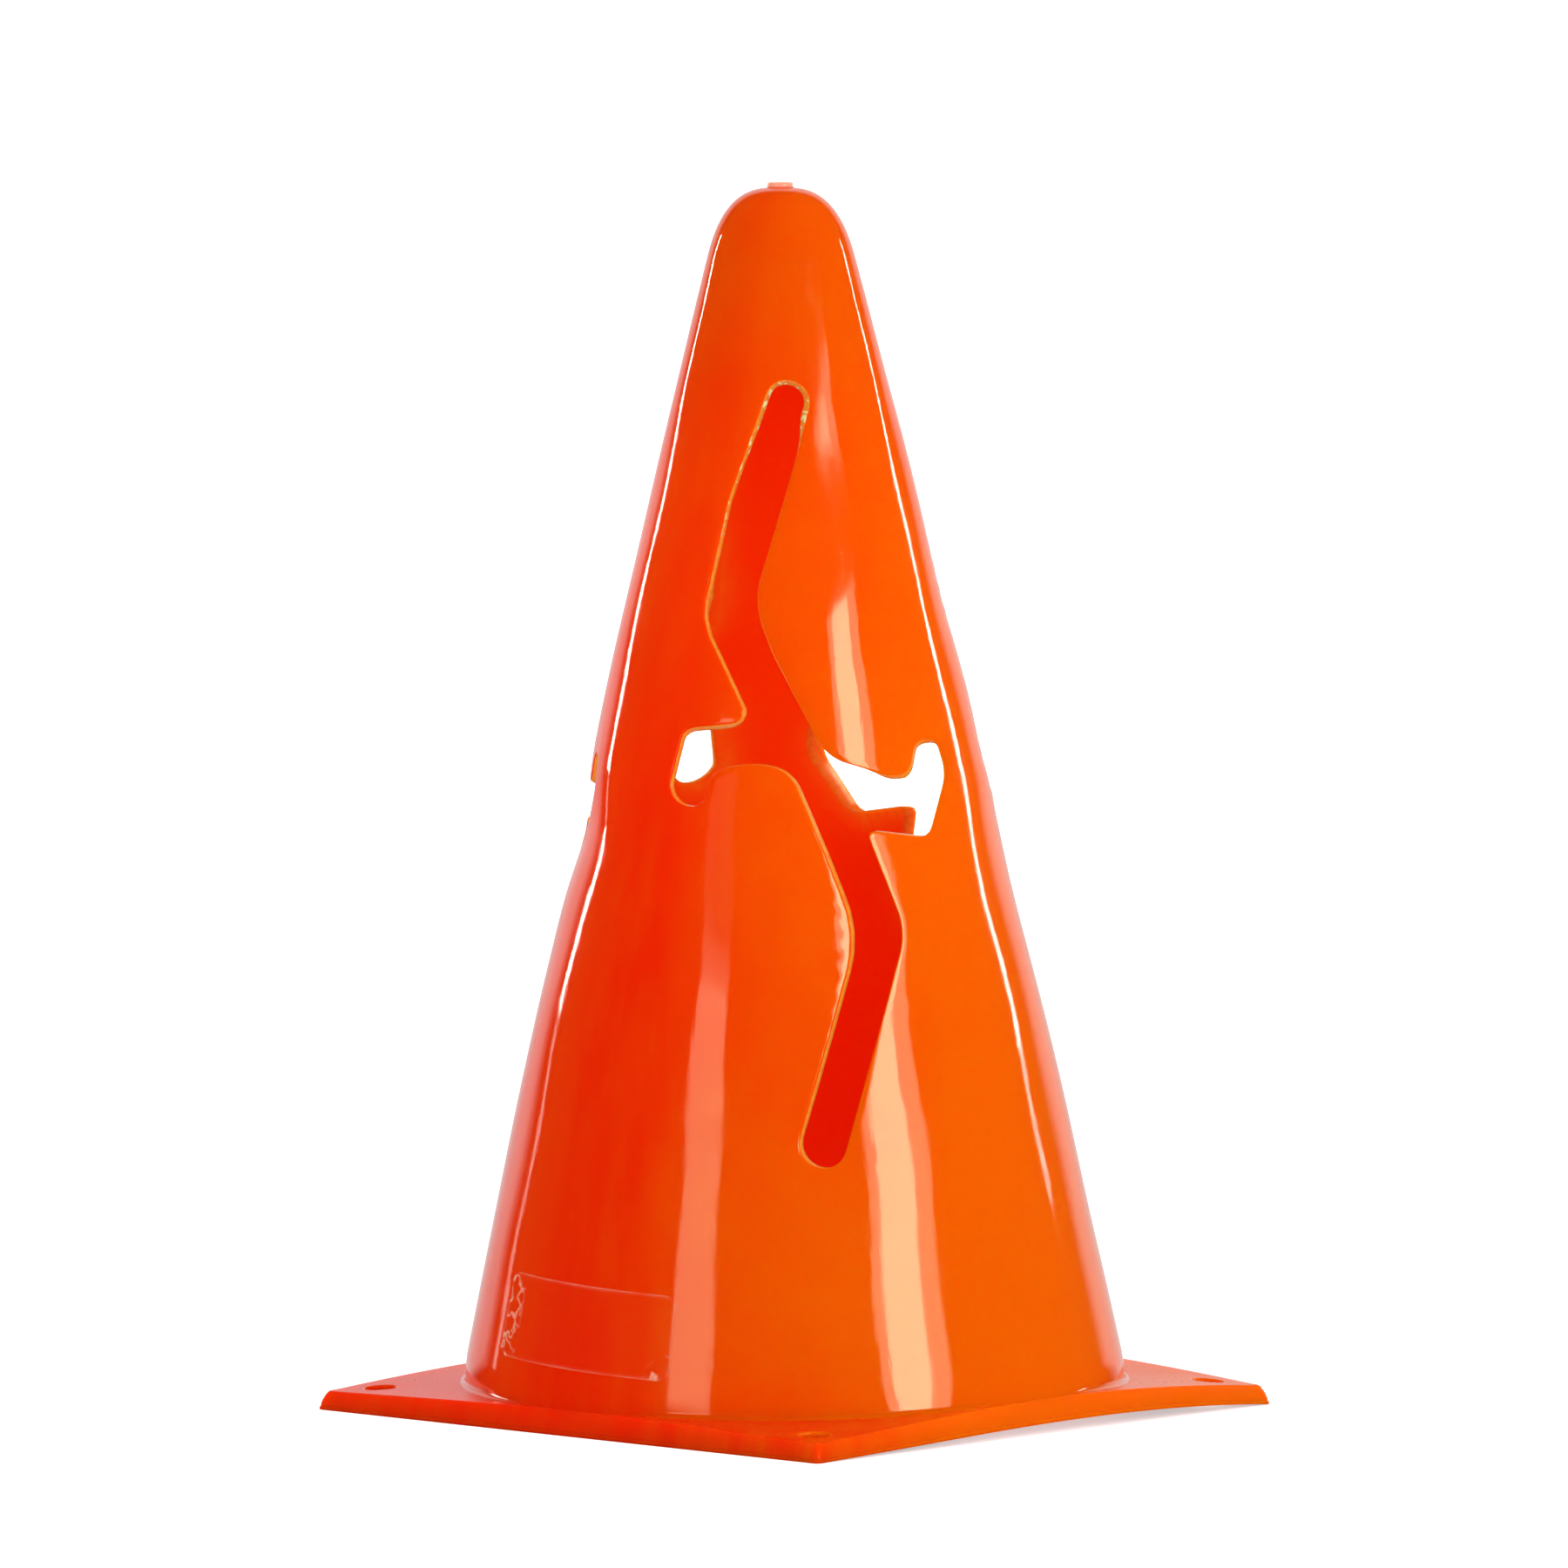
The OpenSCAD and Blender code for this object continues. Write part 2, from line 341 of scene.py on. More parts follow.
def inside(points, loop):
    """Which points lie inside a closed outline, by counting the sides that a level line from
    each point crosses."""
    x, y = points[:, 0:1], points[:, 1:2]
    x0, y0 = loop[:, 0][None], loop[:, 1][None]
    x1, y1 = np.roll(x0, -1, 1), np.roll(y0, -1, 1)
    spans = (y0 > y) != (y1 > y)
    run = np.where(y1 == y0, 1e-12, y1 - y0)
    return (spans & (x < x0 + (x1 - x0) * (y - y0) / run)).sum(1) % 2 == 1


def near_slots(turn, z, radius, s, step=4.0):
    """For each slot in turn, the points near it: their numbers, height from the slot's middle,
    distance to its outline, and the outline's outward direction there."""
    for k in range(s.count):
        loop = slot_outline(k, step, s)
        off = turn - s.turn - CIRCLE * k / s.count
        u, v = radius * np.sin(off), z - s.middle
        near = np.flatnonzero((np.cos(off) > 0) & (np.abs(v) < 90 * MM))
        d = np.hypot(u[near, None] - loop[None, :, 0], v[near, None] - loop[None, :, 1])
        yield near, v[near], d.min(1), outward(loop)[d.argmin(1)]


def tongue_curl(turn, z, radius, s):
    """How far the wall turns in beside the slots: exp(-d / reach) of the distance d to the nearest
    outline, where the wall lies left of the slot, and most at the bends."""
    bend_height, bend_reach = 31 * MM, 14 * MM
    amount = np.zeros(len(z))
    for near, up, d, n in near_slots(turn, z, radius, s):
        bend = 0.3 + 0.7 * np.exp(-((np.abs(up) - bend_height) / bend_reach) ** 2)
        amount[near] += np.clip(-n[:, 0], 0, 1) * bend * np.exp(-d / s.curl_reach)
    return s.curl * amount


def painted_cut_light(points, w, s):
    """How much painted light goes into the colour of a point on the wall's inside, beside the cuts
    where light would come through: exp(-d / reach) with the distance d to the nearest outline, and
    nothing on the outside."""
    x, y, z = points.T
    glow_reach, within = 1.8 * MM, 1.5 * MM
    radius = np.hypot(x, y)
    glow = np.zeros(len(z))
    for near, _, d, _ in near_slots(np.arctan2(y, x), z, radius, s, 2.0):
        glow[near] = np.maximum(glow[near], np.exp(-d / glow_reach))
    return glow * (radius < wall_radius(z, w) + within)


def draw_in(turn, z, reach, w, s):
    """How far the wall draws in: the tongues' curl, less each swell as a bell curve round the wall
    and up it, plus two crossing waves that are still near the ground and near the tip."""
    draw = tongue_curl(turn, z, reach, s)
    for way, height, out, across, up in SWELLS:
        off = (turn - math.radians(way) + np.pi) % CIRCLE - np.pi
        near = np.exp(-(reach * off / (across * MM)) ** 2 - ((z - height * MM) / (up * MM)) ** 2)
        draw -= w.unevenness * out * MM * near
    still, ease = 12 * MM, 20 * MM
    fade = np.clip((z - still) / ease, 0, 1) * np.clip((w.height - ease - z) / ease, 0, 1)
    waves = np.sin(5 * turn + z / (9 * MM)) + np.sin(8 * turn - z / (6.5 * MM) + 1.3)
    return draw + s.wave * fade * waves / 2


def settle(points, w, f, s):
    """The stance of the soft moulding, as one smooth displacement of space: it leans in
    proportion to height, draws in, its sheet is crowned from the corners to the wall, and three
    sides of its rim bow up in a parabola that fades as exp(-(z / 14 mm)^2)."""
    x, y, z = points.reshape(-1, 3).T.copy()
    reach = np.hypot(x, y)
    k = 1 - draw_in(np.arctan2(y, x), z, reach, w, s) / np.maximum(reach, 5 * MM)
    x, y = x * k, y * k
    sheet_width, bow_height = 24 * MM, 14 * MM
    corner = np.clip((reach - w.collar_radius) / sheet_width, 0, 1)
    lift = f.crown * np.clip(z / f.height, 0, 1) * (1 - 1.08 * corner ** 0.8)
    px, py = np.clip(x / (f.side / 2), -1, 1), np.clip(y / (f.side / 2), -1, 1)
    bow = f.arch_right * np.maximum(px, 0) ** 3 * (1 - py ** 2) * (1 + 0.5 * py)
    bow += f.arch_left * np.maximum(-px, 0) ** 3 * (1 - py ** 2)
    bow += f.arch_rear * np.maximum(py, 0) ** 3 * (1 - px ** 2)
    bow *= np.exp(-(z / bow_height) ** 2)
    rise = w.lean * z / w.height
    at = [x + rise * math.cos(w.lean_turn), y + rise * math.sin(w.lean_turn), z + lift + bow]
    return np.stack(at, 1).reshape(points.shape)


def stand(r, t, z, sizes):
    """Settled points from the radius, azimuth and height of the true form."""
    flat = np.broadcast_arrays(r * np.cos(t), r * np.sin(t), z)
    return settle(np.stack(flat, -1), *sizes)


def pairs(turns, rows):
    """All pairs of a turn and a row, (n, 2), row by row."""
    return np.stack(np.meshgrid(turns, rows), -1).reshape(-1, 2)


def quads(rows, cols, wrap=False):
    """Corner numbers of the quads of a grid; wrap joins the last column to the first."""
    i = np.arange(rows * cols).reshape(rows, cols)
    j = np.roll(i, -1, 1) if wrap else i[:, 1:]
    i = i if wrap else i[:, :-1]
    return np.stack([i[:-1], j[:-1], j[1:], i[1:]], -1).reshape(-1, 4)


def add_object(name, data):
    """A new object in the scene, with its origin where the frame's is."""
    obj = bpy.data.objects.new(name, data)
    bpy.context.scene.collection.objects.link(obj)
    return obj


class Shell:
    """Collects patches of one closed surface: points, and faces that are then welded."""
    weld, sliver = 2e-6, 1e-7

    def __init__(self):
        self.points, self.faces, self.kinds, self.count = [], [], [], 0

    def add(self, points, faces, kind):
        """Adds points (n, 3), faces (m, 3 or 4) and the number of their material."""
        self.points.append(points)
        self.faces.append(faces + self.count)
        self.kinds.append(np.full(len(faces), kind))
        self.count += len(points)

    def grid(self, place, turns, rows, kind=OUTSIDE, flip=False):
        """A patch place(turn, row) over all pairs of a turn and a row."""
        t, v = np.meshgrid(turns, rows)
        f = quads(len(rows), len(turns))
        self.add(place(t.ravel(), v.ravel()), f[:, ::-1] if flip else f, kind)

    def cut(self, place, turns, rows, loops, stretch, gap, kind=OUTSIDE, flip=False, keep=1,
            thin=1):
        """The same patch with openings. loops are closed outlines of (turn, row), and stretch
        turns both into lengths. Grid points near a loop give way to keep rings beside it, a gap
        apart, and a Delaunay triangulation that keeps the loops' sides joins all. Between the
        patch's edges only one turn in thin is used."""
        edge = np.vstack([pairs(turns, rows[[0, -1]]), pairs(turns[[0, -1]], rows[1:-1])])
        core = pairs(turns[1:-1][::thin], rows[1:-1]) * stretch
        lines = [loop * stretch for loop in loops]
        rings = [line + outward(line) * gap * k for line in lines for k in range(1, keep + 1)]
        for line in lines:
            ring = line + outward(line) * gap * keep
            box = np.ptp(ring, axis=0) * 0.75 + gap
            near = np.flatnonzero((np.abs(core - ring.mean(0)) < box).all(1))
            away = core[near, None] - ring[None, ::2]
            d = np.hypot(away[..., 0], away[..., 1]).min(1)
            core = np.delete(core, near[inside(core[near], ring) | (d < gap * 0.9)], axis=0)
        points = np.vstack([edge * stretch] + lines + rings + [core])
        first = len(edge)
        sides = []
        for line in lines:
            i = first + np.arange(len(line))
            sides.append(np.stack([i, np.roll(i, -1)], 1))
            first += len(line)
        out = delaunay_2d_cdt(points.tolist(), np.vstack(sides).tolist(), [], 0, 1e-9)
        at, tri = np.array([tuple(p) for p in out[0]]), np.array(out[2])
        middle = at[tri].mean(1)
        tri = tri[~np.any([inside(middle, line) for line in lines], axis=0)]
        at = at / stretch
        self.add(place(at[:, 0], at[:, 1]), tri[:, ::-1] if flip else tri, kind)

    def strip(self, rings, kind=OUTSIDE):
        """A band through closed rings of points, (rings, n, 3)."""
        self.add(rings.reshape(-1, 3), quads(rings.shape[0], rings.shape[1], True), kind)

    def piece(self, name, materials, glow):
        """Welds the patches into an object, with its faces pointing outwards. glow gives the
        attribute of that name for its points."""
        mesh = bpy.data.meshes.new(name)
        faces = [f for part in self.faces for f in part.tolist()]
        mesh.from_pydata(np.vstack(self.points).tolist(), [], faces)
        for m in materials:
            mesh.materials.append(m)
        kinds = np.concatenate(self.kinds).astype(np.int32)
        mesh.polygons.foreach_set("material_index", kinds)
        bm = bmesh.new()
        bm.from_mesh(mesh)
        bmesh.ops.remove_doubles(bm, verts=bm.verts, dist=self.weld)
        bmesh.ops.dissolve_degenerate(bm, edges=bm.edges, dist=self.sliver)
        bmesh.ops.recalc_face_normals(bm, faces=bm.faces)
        bm.to_mesh(mesh)
        bm.free()
        mesh.polygons.foreach_set("use_smooth", np.ones(len(mesh.polygons), bool))
        at = np.empty(len(mesh.vertices) * 3)
        mesh.vertices.foreach_get("co", at)
        layer = mesh.attributes.new("glow", "FLOAT", "POINT")
        layer.data.foreach_set("value", glow(at.reshape(-1, 3)))
        mesh.update()
        return add_object(name, mesh)


# ---------------- shader nodes

def node(tree, kind, links=(), **values):
    """A shader node with inputs or settings by name, and links from outputs to its inputs."""
    n = tree.nodes.new("ShaderNode" + kind)
    for key, value in values.items():
        if key in n.inputs:
            n.inputs[key].default_value = value
        else:
            setattr(n, key, value)
    for source, target in links:
        tree.links.new(source, n.inputs[target])
    return n


def noise(tree, where, **values):
    """The grey of a noise texture."""
    return node(tree, "TexNoise", [(where, "Vector")], **values).outputs["Fac"]


def long_noise(tree, where, scale, detail):
    """The grey of a noise texture with a scale of its own on each axis."""
    drawn = node(tree, "Mapping", [(where, "Vector")], Scale=scale).outputs["Vector"]
    return noise(tree, drawn, Scale=1.0, Detail=detail)


def calc(tree, operation, a, b):
    """Two greys joined by a Math operation."""
    return node(tree, "Math", [(a, 0), (b, 1)], operation=operation).outputs[0]


def vector(tree, operation, source, fixed=None):
    """A vector taken through a Vector Math operation, with a fixed second vector."""
    n = node(tree, "VectorMath", [(source, 0)], operation=operation)
    if fixed is not None:
        n.inputs[1].default_value = fixed
    return n.outputs["Value" if operation in ("DOT_PRODUCT", "LENGTH") else "Vector"]


def ramp(tree, source, stops):
    """The colour of a ramp through (place, grey or colour) stops."""
    n = node(tree, "ValToRGB", [(source, "Fac")])
    e = n.color_ramp.elements
    while len(e) < len(stops):
        e.new(0.5)
    for item, (place, value) in zip(e, stops):
        item.position = place
        item.color = (value, value, value, 1) if isinstance(value, float) else (*value, 1)
    return n.outputs["Color"]


def remap(tree, source, start, stop, low, high):
    """A grey from start to stop, stretched to run from low to high and held beyond."""
    limits = {"From Min": start, "From Max": stop, "To Min": low, "To Max": high}
    return node(tree, "MapRange", [(source, "Value")], **limits).outputs["Result"]


def blend(tree, share, first, second):
    """A colour output that gives way to a fixed colour by a share."""
    n = node(tree, "Mix", [(share, "Factor")], data_type="RGBA")
    tree.links.new(first, n.inputs["A"])
    n.inputs["B"].default_value = (*second, 1.0)
    return n.outputs["Result"]


def either(tree, share, first, second):
    """One shader that gives way to another by a share."""
    return node(tree, "MixShader", [(share, 0), (first, 1), (second, 2)]).outputs[0]


def empty_tree(owner):
    """The owner's node tree, with nothing in it."""
    owner.use_nodes = True
    owner.node_tree.nodes.clear()
    return owner.node_tree


def new_material(name):
    """A material with its node tree, its shader and its Object coordinates."""
    m = bpy.data.materials.new(name)
    t = empty_tree(m)
    out = node(t, "OutputMaterial")
    shader = node(t, "BsdfPrincipled")
    t.links.new(shader.outputs["BSDF"], out.inputs["Surface"])
    return m, t, shader, node(t, "TexCoord").outputs["Object"]


def dress(tree, shader, linked, fixed):
    """Links outputs to a shader's sockets, and sets its other sockets to fixed values."""
    for socket, source in linked.items():
        tree.links.new(source, shader.inputs[socket])
    for socket, value in fixed.items():
        shader.inputs[socket].default_value = value


# ---------------- materials

def plastic_material(name, main, deep, roughness, scratch, soft=1.0, shine=0.5, depth=0.007,
                     sides=(0.935, 0.997)):
    """Soft moulded plastic: a cloudy colour from deep to main, which also runs from deep on one
    side to main on the other as painted light and shade. A redder band of painted shade lies on
    the side away from the lamps; it fades with height and is streaked up and down by noise. Faint
    scratches and specks. sides says how nearly a point faces the painted shade band where that
    starts, and where it is full."""
    m, t, shader, coord = new_material(name)
    cloud = noise(t, coord, Scale=22.0, Detail=3.0, Roughness=0.55)
    # Painted light and shade: the colour runs from deep on the side away from the key lamp to main
    # on the lit side, towards +X and +Y. A cloudy noise of real tone lies on top.
    painted_light_and_cloud = calc(t, "ADD", vector(t, "DOT_PRODUCT", coord, (9.0, 6.0, 0.0)), cloud)
    tint = ramp(t, painted_light_and_cloud, [(0.18, tuple(deep)), (0.82, tuple(main))])
    # Painted shade: a redder copy of deep in a band on the side facing -Y, away from the lamps,
    # fading with height.
    level = vector(t, "MULTIPLY", coord, (1.0, 1.0, 0.0))
    around = vector(t, "NORMALIZE", level)
    turned = vector(t, "DOT_PRODUCT", around, (0.035, -0.999, 0.0))
    band = ramp(t, turned, [(sides[0], 0.0), (sides[1], 0.85)])
    strands = long_noise(t, coord, (170.0, 170.0, 5.0), 2.0)
    uneven = ramp(t, strands, [(0.36, 0.55), (0.64, 1.0)])
    height = node(t, "SeparateXYZ", [(coord, "Vector")]).outputs["Z"]
    fade = remap(t, height, 0.085, 0.215, 1.0, 0.22)
    share = calc(t, "MULTIPLY", calc(t, "MULTIPLY", band, uneven), fade)
    base = blend(t, share, tint, (deep[0], deep[1] * 0.3, deep[2]))

    lines = long_noise(t, coord, (900.0, 900.0, 26.0), 4.0)
    wear = noise(t, coord, Scale=95.0, Detail=5.0, Roughness=0.6)
    rough = remap(t, calc(t, "MULTIPLY", lines, wear), 0.12, 0.45, roughness - 0.03,
                  roughness + 0.05)
    cells = node(t, "TexVoronoi", [(coord, "Vector")], Scale=420.0).outputs["Distance"]
    dot = ramp(t, cells, [(0.0, 1.0), (0.13, 0.0)])
    some = ramp(t, noise(t, coord, Scale=60.0), [(0.60, 0.0), (0.66, 1.0)])
    relief = calc(t, "ADD", lines, calc(t, "MULTIPLY", dot, some))
    bump = node(t, "Bump", [(relief, "Height")], Strength=scratch, Distance=0.00006)

    dress(t, shader, {"Base Color": base, "Roughness": rough, "Normal": bump.outputs["Normal"]},
          {"IOR": 1.5, "Specular Tint": (1.0, 0.95, 0.58, 1.0), "Specular IOR Level": shine,
           "Subsurface Weight": soft, "Subsurface Radius": (1.0, 0.25, 0.06),
           "Subsurface Scale": depth})
    return m


def paint_light_at_cuts(material, bright):
    """Paints light into a material's colour by the mesh's own attribute "glow", where light would
    come through a cut.
    """
    t = material.node_tree
    shader = next(n for n in t.nodes if n.type == "BSDF_PRINCIPLED")
    plain = shader.inputs["Base Color"].links[0].from_socket
    glow = node(t, "Attribute", attribute_name="glow").outputs["Fac"]
    t.links.new(blend(t, glow, plain, bright), shader.inputs["Base Color"])
    return material


def cut_material(main):
    """The slots' cut faces: a grain of two tones, and torn round the upper ends, where the
    roughness comes in with height and pale spots are painted glints."""
    m, t, shader, coord = new_material("cut_orange")
    grain = noise(t, coord, Scale=900.0, Detail=4.0, Roughness=0.65)
    deep = (main[0], main[1] * 0.7, main[2] * 0.7)
    shade = ramp(t, grain, [(0.38, deep), (0.62, tuple(main))])
    height = node(t, "SeparateXYZ", [(coord, "Vector")]).outputs["Z"]
    torn = remap(t, height, 0.160, 0.182, 0.0, 1.0)
    # Painted highlight: pale spots round the torn upper ends stand in for the lamps' glints on the
    # rough cut faces.
    glint_spot_noise = noise(t, coord, Scale=480.0, Detail=2.0, Roughness=0.6)
    painted_glint = ramp(t, glint_spot_noise, [(0.56, 0.0), (0.60, 1.0)])
    pale = blend(t, calc(t, "MULTIPLY", painted_glint, torn), shade, (1.0, 0.80, 0.42))
    bump = node(t, "Bump", [(grain, "Height"), (torn, "Strength")], Distance=0.0006)
    dress(t, shader, {"Base Color": pale, "Normal": bump.outputs["Normal"]},
          {"Roughness": 0.16, "IOR": 1.5, "Specular Tint": (1.0, 0.92, 0.55, 1.0),
           "Subsurface Weight": 1.0, "Subsurface Radius": (1.0, 0.25, 0.06),
           "Subsurface Scale": 0.004})
    return m


def film_material(tint):
    """Clear adhesive film: nearly clear, glossy, with a faint lighter rim and with air pockets at
    its left edge and one corner. The pockets' pale outlines are painted glints on their borders.
    Its UV map "sheet" holds the distance from the rim and from those two places."""
    m, t, shader, coord = new_material("label_film")
    uv = node(t, "UVMap", uv_map="sheet").outputs["UV"]
    part = node(t, "SeparateXYZ", [(uv, "Vector")]).outputs
    lift = noise(t, coord, Scale=120.0, Detail=4.0, Roughness=0.7)
    faint = ramp(t, lift, [(0.38, 0.25), (0.62, 1.0)])
    line = ramp(t, part["X"], [(0.0, 0.22), (0.022, 0.03), (0.05, 0.002)])
    # Air pockets: the pockets are real; their pale outlines are painted glints on their borders.
    pocket = noise(t, coord, Scale=330.0, Detail=1.0)
    outline = ramp(t, pocket, [(0.45, 0.0), (0.50, 0.42), (0.55, 0.0)])
    where = ramp(t, part["Y"], [(0.0, 1.0), (0.09, 0.8), (0.14, 0.0)])
    rim, pockets = calc(t, "MULTIPLY", line, faint), calc(t, "MULTIPLY", outline, where)
    alpha = node(t, "Math", [(rim, 0), (pockets, 1)], operation="ADD", use_clamp=True)
    grain = noise(t, coord, Scale=240.0, Detail=3.0)
    shade = ramp(t, grain, [(0.3, tuple(c * 0.93 for c in tint)), (0.7, tuple(tint))])
    bump = node(t, "Bump", [(grain, "Height")], Strength=0.25, Distance=0.00005)
    dress(t, shader, {"Alpha": alpha.outputs[0], "Base Color": shade,
                      "Normal": bump.outputs["Normal"]}, {"Roughness": 0.12, "IOR": 1.5})
    m.surface_render_method = "BLENDED"
    return m


def moulding_materials(finish):
    """The moulding's materials, in the order of their numbers."""
    skins = finish.plastic, finish.plastic_shaded_side
    within = plastic_material("inside_orange", finish.inside, finish.inside, 0.34, 0.25,
                              shine=0.25, depth=0.012)
    return [
        plastic_material("gloss_orange", *skins, finish.roughness, 0.2),
        paint_light_at_cuts(within, finish.lit), cut_material(finish.cut),
        # Painted shade: the sheet and the skirt take a wider redder band on their shaded side.
        plastic_material("sheet_orange", *skins, 0.30, 0.35, shine=0.3, sides=(0.30, 0.66)),
        plastic_material("gate_orange", finish.gate, finish.gate, 0.30, 0.35, soft=0.4),
        plastic_material("skirt_orange", *skins, 0.14, 0.35, shine=0.25, sides=(0.40, 0.80)),
    ]


# ---------------- the pieces

def slot_rings(s, w, k):
    """Rings of a slot's rounded cut face, as (across, up) and depth from the outside of the wall
    to its inside: quarter circles at both edges, and a face between them that drifts sideways."""
    loop = slot_outline(k, 1.0, s)
    out = outward(loop)
    a, b = np.linspace(0, np.pi / 2, 5), np.linspace(0, np.pi / 2, 3)
    flare = np.r_[s.round_out * (1 - np.sin(a)), s.round_in * (1 - np.cos(b))]
    depth = np.r_[s.round_out * (1 - np.cos(a)), w.thickness - s.round_in * (1 - np.sin(b))]
    share = depth / w.thickness
    end_start, end_ease, wing_start, wing_ease = 56 * MM, 9 * MM, 10 * MM, 4 * MM
    top = np.clip((loop[:, 1] - end_start) / end_ease, 0, 1)
    wing = np.clip((np.abs(loop[:, 0]) - wing_start) / wing_ease, 0, 1) * np.clip(out[:, 1], 0, 1)
    inset = np.stack([s.draft * (1 - top), -s.draft * wing], 1)
    inset = inset - out * (s.end_draft * top)[:, None]
    at = loop[None] + out[None] * flare[:, None, None] + inset[None] * share[:, None, None]
    return at, depth


class Moulding(Shell):
    """The moulding's surface: outside from the gate mark to the lip, then the inside back up to
    the dome, as patches of (azimuth, row) that share their edge points. w, f and s are the sizes
    of the wall, the foot and the slots."""
    low, high = 44 * MM, 200 * MM    # the band of the wall that holds the slots
    wall_stretch, sheet_stretch = np.array([0.038, 1.0]), np.array([0.075, 0.022])
    hole_round, circle = 0.35 * MM, np.linspace(0, CIRCLE, 49)[:-1]

    def __init__(self, wall, foot, slots):
        super().__init__()
        self.w, self.f, self.s = self.sizes = wall, foot, slots
        self.seam = slots.turn + np.pi / 3
        self.turns = self.azimuths()
        self.neck = neck_height(wall)
        self.bore = wall.collar_radius - wall.thickness
        self.under_height = foot.height - foot.sheet
        self.slots = [self.slot_points(k) for k in range(slots.count)]
        self.skirt_half, self.skirt_height, self.skirt_corner = self.skirt_profile()

    def azimuths(self):
        """Even azimuths from the seam all the way round, and close ones at the foot's corners."""
        fan = np.radians(np.linspace(-1.2, 1.2, 13))
        near = [(c - self.seam) % CIRCLE + fan for c in FOOT_CORNERS]
        turns = np.unique(np.round(np.concatenate([np.linspace(0, CIRCLE, 193), *near]), 6))
        turns = turns[np.r_[True, np.diff(turns) > 0.003]]
        turns[-1] = CIRCLE
        return turns + self.seam

    def after_seam(self, turn):
        """The same azimuth, within one turn after the seam."""
        return self.seam + (turn - self.seam) % CIRCLE

    def lathe(self, radius, height):
        """Patch of a profile turned round the axis, by its row."""
        n = np.arange(len(radius))
        return lambda t, v: stand(np.interp(v, n, radius), t, np.interp(v, n, height), self.sizes)

    def wall(self, take_in):
        """Patch of the wall's outside, taken in by a distance, by its height."""
        return lambda t, z: stand(wall_radius(z, self.w) - take_in, t, z, self.sizes)

    def flat(self, ends, height):
        """Level patch between the two radii ends(t), by the share of the way."""
        def place(t, v):
            a, b = ends(t)
            return stand(a + (b - a) * v, t, height, self.sizes)
        return place

    def slot_points(self, k):
        """Azimuth, height and radius of slot k's cut face, seen straight along the slot's own
        direction: the azimuth is the slot's plus asin(across / radius)."""
        at, depth = slot_rings(self.s, self.w, k)
        turn = self.after_seam(self.s.turn + CIRCLE * k / self.s.count)
        z = self.s.middle + at[..., 1]
        r = wall_radius(z, self.w) - depth[:, None]
        return turn + np.arcsin(np.clip(at[..., 0] / r, -1, 1)), z, r

    def add_tip(self):
        """The dimpled gate mark, then the dome."""
        g = self.w.gate_radius
        dome_r, dome_z = dome_profile(self.w, 0.0, 34)
        share, below = GATE_PROFILE.T
        dome_at = np.interp(g * 1.08, dome_r, dome_z)
        keep = dome_r > g * 1.15
        tip_r = np.r_[np.r_[share, 1.02, 1.08] * g, dome_r[keep]]
        tip_z = np.r_[self.w.height - below * MM, dome_at + 0.12 * MM, dome_at, dome_z[keep]]
        tip, n = self.lathe(tip_r, tip_z), len(share)
        self.grid(tip, self.turns, np.arange(n + 1)[::-1], GATE)
        self.grid(tip, self.turns, np.arange(n, len(tip_r))[::-1])

    def add_wall(self):
        """The outside of the wall, and the slots' cut faces."""
        self.grid(self.wall(0), self.turns, np.linspace(self.high, self.neck, 9))
        loops = [np.stack([t[0], z[0]], 1) for t, z, _ in self.slots]
        self.cut(self.wall(0), self.turns, np.linspace(self.low, self.high, 88), loops,
                 self.wall_stretch, 0.9 * MM, keep=2)
        for t, z, r in self.slots:
            face = stand(r, t, z, self.sizes)
            self.strip(face[:4])
            self.strip(face[3:], CUT)

    def edge(self, t):
        """The top edge of the skirt."""
        f = self.f
        half = f.side / 2 - f.lip_out - f.skirt_lean
        return square_reach(t, half, max(f.corner - f.skirt_lean, 0.6 * MM))

    def fillet(self, t):
        """Radius of the fillet, which is smaller where the wall comes near the skirt."""
        room = self.edge(t) - 0.35 * MM - self.w.collar_radius
        return np.clip(room, 0.05 * MM, self.f.fillet)

    def wall_end(self, t):
        """Radius of the wall where the fillet takes over."""
        return wall_radius(self.f.height + self.fillet(t), self.w)

    def low_wall(self, t, v):
        """The wall from the fillet up to the band with the slots."""
        z = (self.f.height + self.fillet(t)) * (1 - v) + self.low * v
        return stand(wall_radius(z, self.w), t, z, self.sizes)

    def fillet_arc(self, t, v):
        """A quarter circle, by its angle."""
        q = self.fillet(t)
        r, z = self.wall_end(t) + q * (1 - np.cos(v)), self.f.height + q * (1 - np.sin(v))
        return stand(r, t, z, self.sizes)

    def sheet_ends(self, t):
        """Where the sheet starts, at the fillet's end, and stops, short of the skirt's edge."""
        start = self.wall_end(t) + self.fillet(t)
        return start, np.maximum(self.edge(t) - 0.3 * MM, start + 0.02 * MM)

    def under_ends(self, t):
        """Where the underside starts, just outside the bore, and stops, at the skirt's inside."""
        start = self.bore + 0.1 * MM
        reach = square_reach(t, self.skirt_half[-1], self.skirt_corner[-1])
        return start, np.maximum(reach, start + 0.15 * MM)

